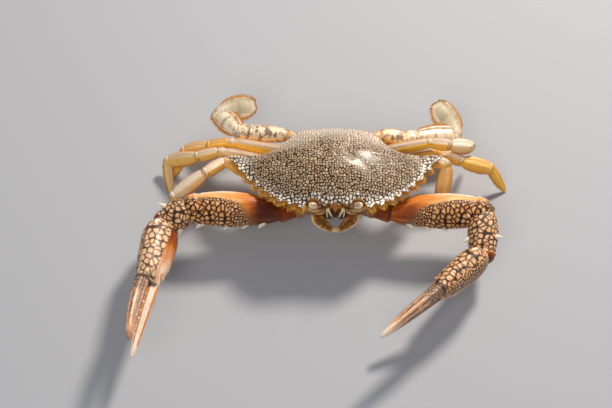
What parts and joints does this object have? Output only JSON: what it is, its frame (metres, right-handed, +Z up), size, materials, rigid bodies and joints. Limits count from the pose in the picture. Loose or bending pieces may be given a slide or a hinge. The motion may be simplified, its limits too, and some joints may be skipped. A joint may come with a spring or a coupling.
{
  "type": "speckled swimming crab model",
  "caption": "Life-size still model of a speckled swimming crab standing on its walking legs with both long claws reaching forward and paddle-shaped rear legs.",
  "frame": {"origin": "centre of the footprint's bounding box, on the floor under the crab", "axes": "+X to the crab's own left, -Y the way it faces, +Z up"},
  "size_m": [0.2174, 0.1714, 0.0507],
  "materials": {
    "shell": "dark olive-brown shell with dense cream spots, satin gloss",
    "claw": "tan polygons in a dark brown net, orange inner faces, satin gloss",
    "leg": "peach to yellow-orange shell, satin gloss",
    "paddle": "pale cream with ochre rims, satin gloss",
    "face": "ochre-brown, satin",
    "eye": "pale pinkish cream, glossy",
    "pale": "cream white, satin"
  },
  "bodies": {
    "root": {"abdomen": "pale", "antenna_left": "pale", "antenna_right": "pale", "antennule_left": "pale", "antennule_right": "pale", "carapace": "shell", "claw_left_carpus": "claw", "claw_left_dactylus": "claw", "claw_left_ischium": "claw", "claw_left_merus": "claw", "claw_left_propodus": "claw", "claw_right_carpus": "claw", "claw_right_dactylus": "claw", "claw_right_ischium": "claw", "claw_right_merus": "claw", "claw_right_propodus": "claw", "eye_left": "eye", "eye_right": "eye", "leg_1_left_carpus": "leg", "leg_1_left_dactylus": "leg", "leg_1_left_merus": "leg", "leg_1_left_propodus": "leg", "leg_1_right_carpus": "leg", "leg_1_right_dactylus": "leg", "leg_1_right_merus": "leg", "leg_1_right_propodus": "leg", "leg_2_left_carpus": "leg", "leg_2_left_dactylus": "leg", "leg_2_left_merus": "leg", "leg_2_left_propodus": "leg", "leg_2_right_carpus": "leg", "leg_2_right_dactylus": "leg", "leg_2_right_merus": "leg", "leg_2_right_propodus": "leg", "leg_3_left_carpus": "leg", "leg_3_left_dactylus": "leg", "leg_3_left_merus": "leg", "leg_3_left_propodus": "leg", "leg_3_right_carpus": "leg", "leg_3_right_dactylus": "leg", "leg_3_right_merus": "leg", "leg_3_right_propodus": "leg", "maxilliped_left": "face", "maxilliped_right": "face", "swim_left_carpus": "paddle", "swim_left_dactylus": "paddle", "swim_left_merus": "paddle", "swim_left_propodus": "paddle", "swim_right_carpus": "paddle", "swim_right_dactylus": "paddle", "swim_right_merus": "paddle", "swim_right_propodus": "paddle", "underbody": "face"}
  },
  "joints": []
}
